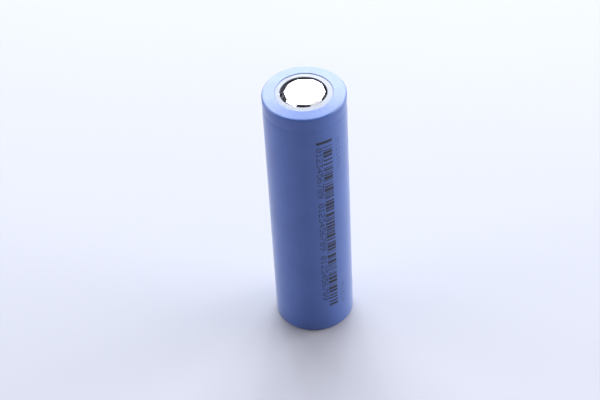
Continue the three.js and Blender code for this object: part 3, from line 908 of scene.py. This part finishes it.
GASKET_LOW, GASKET_HIGH = node_box("crimp_gasket")
gasket_outer = GASKET_HIGH[0]
gasket_profile = [(6.55, GASKET_LOW[2], 0.08), (gasket_outer, GASKET_LOW[2], 0.05)]
gasket_bend = CRIMP_TOP - CRIMP - crimp_drop(CAN_RADIUS - CRIMP)
gasket_lip = FLANGE_TOP + GAP
gasket_profile += arc(CAN_RADIUS - CRIMP, gasket_bend, CRIMP - MOUTH_WALL - GAP, 0, 90, 10)
gasket_profile += [(6.45, GASKET_HIGH[2], 0.1), (6.45, gasket_lip, 0.1)]
gasket_profile += [(gasket_outer - 0.45, gasket_lip, 0.03), (gasket_outer - 0.45, GASKET_LOW[2] + 0.4, 0.03)]
gasket_profile += [(6.55, GASKET_LOW[2] + 0.4, 0.08)]
turned_piece("gasket", gasket_profile, "gasket", "gasket_plastic", "crimp_gasket")

PTC_BORE = 5.6
PTC_LOW, PTC_HIGH = node_box("ptc_washer")
ptc_profile = [(PTC_BORE, PTC_LOW[2], 0.03), (PTC_HIGH[0], PTC_LOW[2], 0.03)]
ptc_profile += [(PTC_HIGH[0], PTC_HIGH[2], 0.03), (PTC_BORE, PTC_HIGH[2], 0.03)]
turned_piece("ptc_disc", ptc_profile, "ptc", "ptc_composite", "ptc_washer")

RIM_LOW, RIM_HIGH = node_box("vent_disc_rim")
VENT_TOP = RIM_HIGH[2]
VENT_UNDER = VENT_TOP - 0.3
HEADER = RIM_HIGH[0]
SCORE_OUTER = 4.42  # the rim ends and the dome begins on either side of the score line
SCORE_INNER = 4.36
rim_profile = [(SCORE_OUTER, VENT_UNDER, 0.03), (5.95, VENT_UNDER, 0.06), (5.95, RIM_LOW[2] + 0.2, 0.05)]
rim_profile += [(5.45, RIM_LOW[2] + 0.2, 0.05), (5.45, RIM_LOW[2], 0.05), (6.25, RIM_LOW[2], 0.2)]
rim_profile += [(6.25, VENT_UNDER, 0.08), (HEADER, VENT_UNDER, 0.04), (HEADER, VENT_TOP, 0.04)]
rim_profile += [(SCORE_OUTER, VENT_TOP, 0.03)]
turned_piece("vent_rim", rim_profile, "vent", "vent_aluminium", "vent_disc_rim")

DOME_LOW, _ = node_box("vent_disc_dome")
BOSS = DOME_LOW[2]
dome_profile = [(0, BOSS), (1.0, BOSS, 0.15), (1.35, BOSS + 0.1, 0.2), (3.45, VENT_UNDER - 0.06, 0.4)]
dome_profile += [(3.9, VENT_UNDER, 0.2), (SCORE_INNER, VENT_UNDER, 0.03), (SCORE_INNER, VENT_TOP, 0.03)]
dome_profile += [(3.75, VENT_TOP, 0.2), (3.3, VENT_TOP - 0.1, 0.4), (1.25, BOSS + 0.38, 0.3)]
dome_profile += [(0.8, BOSS + 0.27, 0.15), (0, BOSS + 0.27)]
dome = revolve("vent_dome", rounded(dome_profile, closed=False))
finish_piece(dome, PAINT["vent"], "vent_aluminium", "vent_disc_dome", body="burst_disc")

CID_LOW, CID_HIGH = node_box("cid_plate")
CIR_LOW, CIR_HIGH = node_box("cid_insulator_ring")
seat = CID_HIGH[0] + GAP
cir_profile = [(5.05, CIR_LOW[2], 0.06), (CIR_HIGH[0], CIR_LOW[2], 0.05), (CIR_HIGH[0], CIR_HIGH[2], 0.05)]
cir_profile += [(4.75, CIR_HIGH[2], 0.06), (4.75, CID_HIGH[2] + GAP, 0.06), (seat, CID_HIGH[2] + GAP)]
cir_profile += [(seat, CID_LOW[2] - GAP), (5.05, CID_LOW[2] - GAP, 0.04)]
turned_piece("plate_insulator", cir_profile, "white", "header_plastic", "cid_insulator_ring")


def circle(x, y, radius, count):
    angles = [TAU * k / count for k in range(count)]
    return [(x + radius * math.cos(a), y + radius * math.sin(a)) for a in angles]


def cut_sheet(name, outlines, low, high):
    """A flat sheet with holes: its outlines filled, thickened, and eased at the edges."""
    mesh = bpy.data.meshes.new(name)
    work = bmesh.new()
    edges = []
    for points in outlines:
        verts = [work.verts.new((x * MM, y * MM, high * MM)) for x, y in points]
        edges += [work.edges.new((a, b)) for a, b in zip(verts, verts[1:] + verts[:1])]
    bmesh.ops.triangle_fill(work, edges=edges, use_beauty=True, normal=(0, 0, 1))
    work.to_mesh(mesh)
    work.free()
    obj = add_object(name, mesh)
    thicken(obj, high - low, min(0.03, (high - low) / 5), 60)
    obj.data.shade_smooth()
    obj.data.set_sharp_from_angle(angle=math.radians(35))
    return obj


def around(radius, degrees):
    """Points on a circle about the axis."""
    return [(radius * math.cos(math.radians(a)), radius * math.sin(math.radians(a))) for a in degrees]


plate_outlines = [circle(0, 0, CID_HIGH[0], 120)]
PLATE_HOLE = 0.65
PLATE_HOLES_AT = 3.4  # from the axis
plate_outlines += [circle(x, y, PLATE_HOLE, 32) for x, y in around(PLATE_HOLES_AT, range(30, 360, 60))]
plate = cut_sheet("weld_plate", plate_outlines, CID_LOW[2], CID_HIGH[2])
finish_piece(plate, PAINT["vent"], "vent_aluminium", "cid_plate")


# ---- Winding: two electrodes and two separators on one spiral, about a slit tube ----

WINDING_CORE = 1.85
WINDING_PITCH = 0.6
STEPS_PER_TURN = 96
FOIL = 0.04
# Each layer's inner and outer face, measured outward from the spiral's own line.
OUTER_SEPARATOR_PLACE = (0.002, 0.05)
CATHODE_PLACE = (0.075, 0.275)
INNER_SEPARATOR_PLACE = (0.30, 0.35)
ANODE_PLACE = (0.375, 0.575)
CLOSING_TAPE_PLACE = (0.075, 0.115)
# The turn that each layer starts and ends at.
OUTER_SEPARATOR_TURNS = (0.0, 10.85)
CATHODE_TURNS = (0.8, 9.3)
INNER_SEPARATOR_TURNS = (0.2, 9.9)
ANODE_TURNS = (0.4, 9.8)
CLOSING_TAPE_TURNS = (10.6, 11.1)
CATHODE_TAB_TURN = 7.0
ANODE_TAB_TURN = 9.5
BARE_HALF_TURN = 0.15
CATHODE_BARE_FOOT = 44.0  # the bare window of the cathode runs from here to its top edge
ANODE_BARE_HEAD = 18.0  # and that of the anode from its lower edge to here
FOIL_FACE = 0.004  # thickness of the patch that shows the foil
TAB_SHEET = 0.08
TAB_GAP = 0.015  # between foil, lead and tape
LEAD_TAPE_SHEET = 0.035
LEAD_TAPE_HALF_TURN = 0.1
FRILL = 0.05  # how far the separators' cut edges wave
frill_waves = wave_terms((5, 8, 13, 21, 34), 0.3)


def spiral_point(turn, offset, z):
    """A point on the winding, that far outside the spiral's own line."""
    r = WINDING_CORE + WINDING_PITCH * turn + offset
    return (r * math.cos(TAU * turn), r * math.sin(TAU * turn), z)


def wound_sheet(name, place, turns, heights, bare=None, frill=0.0):
    """A sheet on the spiral between two turns and two heights. In the bare window, given as turns and
    heights, it is only as thick as its foil. Its cut edges wave by the frill."""
    inner, outer = place
    low, high = heights
    count = round((turns[1] - turns[0]) * STEPS_PER_TURN)
    stations = [turns[0] + (turns[1] - turns[0]) * k / count for k in range(count + 1)]
    rows = [low, high]
    if bare:
        edge = 0.002
        stations += [bare[0][0] - edge, bare[0][0], bare[0][1], bare[0][1] + edge]
        rows += [bare[1][0] - 0.02, bare[1][0], bare[1][1], bare[1][1] + 0.02]
        rows = [z for z in rows if low <= z <= high]
    stations.sort()
    rows.sort()

    def face_offset(turn, z):
        if bare and bare[0][0] <= turn <= bare[0][1] and bare[1][0] <= z <= bare[1][1]:
            return inner + FOIL - FOIL_FACE
        return outer

    vertices, faces = [], []
    for turn in stations:
        ripple = frill * wave(TAU * turn / 3, frill_waves)
        for z in rows:
            at = z + (ripple if z in (low, high) else 0.0)
            vertices.append(spiral_point(turn, inner, at))
            vertices.append(spiral_point(turn, face_offset(turn, z), at))
    tall = len(rows)
    for i in range(len(stations) - 1):
        for j in range(tall - 1):
            a = 2 * (i * tall + j)
            b = a + 2 * tall
            faces.append((a, a + 2, b + 2, b))
            faces.append((a + 1, b + 1, b + 3, a + 3))
        for a in (2 * i * tall, 2 * (i * tall + tall - 1)):
            faces.append((a, a + 1, a + 2 * tall + 1, a + 2 * tall))
    for start in (0, 2 * tall * (len(stations) - 1)):
        for j in range(tall - 1):
            a = start + 2 * j
            faces.append((a, a + 1, a + 3, a + 2))
    return mesh_object(name, vertices, faces)


def node_heights(name):
    """The heights of a CAD node's foot and head."""
    low, high = node_box(name)
    return low[2], high[2]


def bare_window(turn, low, high):
    """The turns and heights between which an electrode's coating is left off for its lead."""
    return (turn - BARE_HALF_TURN, turn + BARE_HALF_TURN), (low, high)


cathode_bare = bare_window(CATHODE_TAB_TURN, CATHODE_BARE_FOOT, node_heights("cathode_sheet")[1])
anode_bare = bare_window(ANODE_TAB_TURN, node_heights("anode_sheet")[0], ANODE_BARE_HEAD)


def wind(name, node, paint, slot, place, turns, bare=None, frill=0.0):
    """Winds one sheet in the place of a CAD node."""
    made = wound_sheet(name, place, turns, node_heights(node), bare, frill)
    finish_piece(made, PAINT[paint], slot, node)


wind("cathode_web", "cathode_sheet", "cathode", "cathode_coating", CATHODE_PLACE, CATHODE_TURNS, cathode_bare)
wind("anode_web", "anode_sheet", "anode", "anode_coating", ANODE_PLACE, ANODE_TURNS, anode_bare)
wind("separator_web_outer", "separator_outer", "separator", "separator_film", OUTER_SEPARATOR_PLACE,
     OUTER_SEPARATOR_TURNS, frill=FRILL)
wind("separator_web_inner", "separator_inner", "separator", "separator_film", INNER_SEPARATOR_PLACE,
     INNER_SEPARATOR_TURNS, frill=FRILL)
wind("closing_tape", "winding_tape", "green", "tape_green", CLOSING_TAPE_PLACE, CLOSING_TAPE_TURNS)


def foil_patch(name, place, bare, paint):
    """The bare foil that shows in an electrode's window."""
    turns, heights = bare
    made = wound_sheet(name, (place[0] + FOIL - FOIL_FACE, place[0] + FOIL), turns, heights)
    finish_piece(made, paint, None)


def lead_tape(name, node, place, turn):
    """The tape that holds a lead on its foil."""
    start = place[0] + FOIL + TAB_GAP + TAB_SHEET + TAB_GAP
    place = (start, start + LEAD_TAPE_SHEET)
    wind(name, node, "amber", "tape_amber", place, (turn - LEAD_TAPE_HALF_TURN, turn + LEAD_TAPE_HALF_TURN))


foil_patch("cathode_foil", CATHODE_PLACE, cathode_bare, PAINT["lead"])
foil_patch("anode_foil", ANODE_PLACE, anode_bare, PAINT["copper"])
lead_tape("cathode_lead_tape", "cathode_tab_tape", CATHODE_PLACE, CATHODE_TAB_TURN)
lead_tape("anode_lead_tape", "anode_tab_tape", ANODE_PLACE, ANODE_TAB_TURN)


# ---- Leads ----

ROOT_STEP = 0.8  # between the sections of a lead's upright part
UPPER_RUN = 60.6  # height of the cathode lead's run above the winding
UPPER_BEND = 0.3
FOLD_X = -3.2  # where the cathode lead folds back over itself
CATHODE_LEAD_END = 2.2
LOWER_BEND = 0.25
ANODE_LEAD_END = 1.6
CATHODE_LEAD_WIDTH = 3.9
ANODE_LEAD_WIDTH = 3.8
# Between these heights each lead goes over from curved, like the winding, to flat.
CATHODE_LEAD_FLATTENS = (58.0, 60.0)
ANODE_LEAD_FLATTENS = (1.0, 2.6)


def lead_radius(turn, place):
    """How far from the axis the middle of a lead's sheet lies at its root."""
    return WINDING_CORE + WINDING_PITCH * turn + place[0] + FOIL + TAB_GAP + TAB_SHEET / 2


def lead(name, path, width, side, curved):
    """A strip that follows (x, z) points. Where curved(z) is 1 it is bent round the winding, and where it
    is 0 it is flat. side is +1 or -1: the side of the axis that it stands on."""
    across = 12
    sections = []
    for i, (x, z) in enumerate(path):
        before, after = Vector(path[max(i - 1, 0)]), Vector(path[min(i + 1, len(path) - 1)])
        along = (after - before).normalized()
        normal = (along.y * TAB_SHEET / 2, -along.x * TAB_SHEET / 2)
        share = curved(z) if abs(along.y) > 0.99 else 0.0
        rows = []
        for sign in (1, -1):
            row = []
            for k in range(across + 1):
                y = width * (k / across - 0.5)
                sag = abs(x) - math.sqrt(max(x * x - y * y, 0.0)) if share else 0.0
                climb = WINDING_PITCH * math.atan2(y * side, abs(x)) / TAU if share else 0.0
                ease = 0.006 if k in (0, across) else 0.0
                flat_x = x + sign * normal[0] * (1 - ease / TAB_SHEET)
                flat_z = z + sign * normal[1] * (1 - ease / TAB_SHEET)
                row.append((flat_x - side * share * (sag - climb), y, flat_z))
            rows += row if sign == 1 else row[::-1]
        sections.append(rows)
    return sweep(name, sections)


def weld_marks(name, places, z, paint):
    """Shallow spot-weld rings on a lead."""
    vertices, faces = [], []
    rings = ((0.10, 0.0), (0.20, 0.012), (0.30, 0.012), (0.36, 0.0))
    sides = 20
    for x, y in places:
        start = len(vertices)
        for r, rise in rings:
            vertices += [(px, py, z + rise) for px, py in circle(x, y, r, sides)]
        for here, there in ((0, 1), (1, 2), (2, 3), (3, 0)):
            join_rings(faces, start + sides * here, start + sides * there, sides)
    finish_piece(mesh_object(name, vertices, faces), paint, None)


cathode_low, cathode_high = node_box("cathode_tab")
anode_low, anode_high = node_box("anode_tab")
weld_height = cathode_high[2] - TAB_SHEET / 2
fold = (weld_height - UPPER_RUN) / 2
cathode_x = lead_radius(CATHODE_TAB_TURN, CATHODE_PLACE)
root_rows = [cathode_low[2] + ROOT_STEP * k for k in range(18)]
cathode_path = [(cathode_x, z) for z in root_rows if z < UPPER_RUN - 0.35]
cathode_path += arc(cathode_x - UPPER_BEND, UPPER_RUN - UPPER_BEND, UPPER_BEND, 0, 90, 6)
cathode_path += arc(FOLD_X, UPPER_RUN + fold, fold, 270, 90, 14)
cathode_path += [(CATHODE_LEAD_END, weld_height)]
cathode_lead = lead("cathode_lead", cathode_path, CATHODE_LEAD_WIDTH, 1,
                    lambda z: 1 - smooth_step(z, *CATHODE_LEAD_FLATTENS))
finish_piece(cathode_lead, PAINT["lead"], "lead_aluminium", "cathode_tab")

anode_x = lead_radius(ANODE_TAB_TURN, ANODE_PLACE)
floor_run = anode_low[2] + TAB_SHEET / 2
anode_path = [(-anode_x, anode_high[2] - ROOT_STEP * k) for k in range(19)]
anode_path = [(x, z) for x, z in anode_path if z > floor_run + 0.3]
anode_path += arc(-anode_x + LOWER_BEND, floor_run + LOWER_BEND, LOWER_BEND, 180, 270, 6)
anode_path += [(-4.0, floor_run), (ANODE_LEAD_END, floor_run)]
anode_lead = lead("anode_lead", anode_path, ANODE_LEAD_WIDTH, -1,
                  lambda z: smooth_step(z, *ANODE_LEAD_FLATTENS))
finish_piece(anode_lead, PAINT["nickel_strip"], "lead_nickel", "anode_tab")
weld_marks("anode_welds", [(0.4, 0.7), (0.4, -0.7)], anode_low[2] + TAB_SHEET - 0.001, PAINT["nickel_strip"])


# ---- Inner insulators and centre pin ----

INSULATOR_BORE = 1.7
LEAD_SLOT = (5.6, 6.6, 2.4)  # its near and far side, from the axis, and half its width
GAS_HOLE = 0.8
GAS_HOLES_AT = 5.0  # from the axis


def rounded_box(left, right, half, corner, steps=6):
    """The outline of a slot with round corners, centred on the X axis."""
    points = []
    for x, y, start in ((right, half, 0), (left, half, 90), (left, -half, 180), (right, -half, 270)):
        cx = x - corner if x == right else x + corner
        cy = y - math.copysign(corner, y)
        points += arc(cx, cy, corner, start, start + 90, steps)
    return points


upper_low, upper_high = node_box("upper_insulator")
upper_outlines = [circle(0, 0, upper_high[0], 160), circle(0, 0, INSULATOR_BORE, 64)]
upper_outlines += [rounded_box(*LEAD_SLOT, 0.2)]
upper_outlines += [circle(x, y, GAS_HOLE, 32) for x, y in around(GAS_HOLES_AT, (120, 180, 240))]
upper = cut_sheet("upper_disc", upper_outlines, upper_low[2], upper_high[2])
finish_piece(upper, PAINT["disc"], "insulator_disc", "upper_insulator")

lower_low, lower_high = node_box("lower_insulator")
lower_radius = lower_high[0]
NOTCH_HALF = 2.7  # half the width of the notch that the anode lead passes through
NOTCH_DEPTH = 7.3  # from the axis to its straight inner edge
notch_turn = 180 - math.degrees(math.asin(NOTCH_HALF / lower_radius))
lower_rim = around(lower_radius, [-notch_turn + 2 * notch_turn * k / 140 for k in range(141)])
lower_rim += [(-NOTCH_DEPTH, NOTCH_HALF), (-NOTCH_DEPTH, -NOTCH_HALF)]
lower = cut_sheet("lower_disc", [lower_rim, circle(0, 0, INSULATOR_BORE, 64)], lower_low[2], lower_high[2])
finish_piece(lower, PAINT["disc"], "insulator_disc", "lower_insulator")


def slit_tube(name, inner, outer, low, high, slit, taper):
    """A tube rolled from sheet, whose edges leave a slit on the +X side, with tapered ends."""
    profile = [(inner, low, 0.04), (outer - 0.15, low, 0.04), (outer, low + taper, 0.3)]
    profile += [(outer, high - taper, 0.3), (outer - 0.15, high, 0.04), (inner, high, 0.04)]
    profile = rounded(profile)
    turns = 72
    sections = []
    for k in range(turns + 1):
        section = []
        for r, z in profile:
            edge = math.asin(slit / 2 / r)
            angle = edge + (TAU - 2 * edge) * k / turns
            section.append((r * math.cos(angle), r * math.sin(angle), z))
        sections.append(section)
    return sweep(name, sections, 50)


PIN_BORE = 1.35
PIN_RADIUS = 1.6
PIN_SLIT = 0.5
PIN_TAPER = 0.6
pin_low, pin_high = node_box("centre_pin")
pin = slit_tube("core_tube", PIN_BORE, PIN_RADIUS, pin_low[2], pin_high[2], PIN_SLIT, PIN_TAPER)
finish_piece(pin, PAINT["pin"], "pin_steel", "centre_pin")


# ---- Light, floor and air: lengths are in metres ----

LIGHT_TARGET = Vector((0, 0, 0.03))


def area_light(name, place, size, power, colour):
    """A rectangular light that faces the cell."""
    light = bpy.data.lights.new(name, "AREA")
    light.shape = "RECTANGLE"
    light.size, light.size_y = size
    light.energy = power
    light.color = colour
    obj = add_object(name, light)
    obj.location = place
    obj.rotation_mode = "QUATERNION"
    obj.rotation_quaternion = (LIGHT_TARGET - Vector(place)).to_track_quat("-Z", "Y")


FLOOR_WHITE = (0.366, 0.367, 0.448)
FLOOR_HOLE = 0.0079
FLOOR_RADIUS = 3.0


def floor_object():
    """A wide pale floor. It is clear from below, with a hole under the cell, so that the base shows."""
    work = bmesh.new()
    count = 64
    inner = [work.verts.new((x, y, 0)) for x, y in circle(0, 0, FLOOR_HOLE, count)]
    outer = [work.verts.new((x, y, 0)) for x, y in circle(0, 0, FLOOR_RADIUS, count)]
    for k in range(count):
        n = (k + 1) % count
        work.faces.new((inner[k], outer[k], outer[n], inner[n]))
    mesh = bpy.data.meshes.new("floor")
    work.to_mesh(mesh)
    work.free()
    obj = add_object("floor", mesh)
    paint = Paint("floor_paper", FLOOR_WHITE, 0.6)
    paint.tone(paint.noise(6, 3), 0.985, 1.015)
    clear = paint.node("ShaderNodeBsdfTransparent")
    mix = paint.node("ShaderNodeMixShader")
    side = paint.node("ShaderNodeNewGeometry").outputs["Backfacing"]
    paint.links.new(side, mix.inputs[0])
    paint.links.new(paint.shader.outputs[0], mix.inputs[1])
    paint.links.new(clear.outputs[0], mix.inputs[2])
    paint.links.new(mix.outputs[0], paint.nodes["Material Output"].inputs["Surface"])
    mesh.materials.append(paint.material)


floor_object()


WINDOW_DISTANCE = 2.2
WINDOW_FOOT, WINDOW_HEAD = 9, 52  # degrees above the floor, seen from the cell
WINDOW_COLOUR = (0.94, 1.0, 1.0)
PANE_TURN = 22  # degrees that each pane takes up
# Each pane's degrees to the right of straight behind, and its radiance.
WINDOW_PANES = ((-66, 1.4), (-44, 1.4), (-22, 5.6), (0, 6.7), (22, 6.2), (44, 2.6), (66, 2.6))


def window_wall():
    """A row of tall window panes in a part circle behind the cell."""
    height = math.radians((WINDOW_FOOT + WINDOW_HEAD) / 2)
    wide = 2 * WINDOW_DISTANCE * math.tan(math.radians(PANE_TURN / 2))
    tall = 2 * WINDOW_DISTANCE * math.tan(math.radians((WINDOW_HEAD - WINDOW_FOOT) / 2))
    for degrees, radiance in WINDOW_PANES:
        azimuth = math.radians(degrees)
        level = math.cos(height)
        out = Vector((math.sin(azimuth) * level, math.cos(azimuth) * level, math.sin(height)))
        power = radiance * math.pi * wide * tall / WINDOW_COLOUR[0]
        area_light("window", WINDOW_DISTANCE * out, (wide, tall), power, WINDOW_COLOUR)


WALL_SIZE = (1.6, 1.3)
window_wall()
area_light("right_wall", (2.0, 0.17, 0.95), WALL_SIZE, 45.0, (1.0, 0.98, 0.90))
area_light("left_wall", (-2.0, 0.17, 0.95), WALL_SIZE, 23.0, (1.0, 0.98, 0.98))

world = bpy.data.worlds.new("air")
bpy.context.scene.world = world
world.use_nodes = True
air = world.node_tree.nodes["Background"]
air.inputs["Color"].default_value = (1.0, 0.99, 1.0, 1)
air.inputs["Strength"].default_value = 0.25
bpy.context.scene.view_settings.view_transform = "Standard"
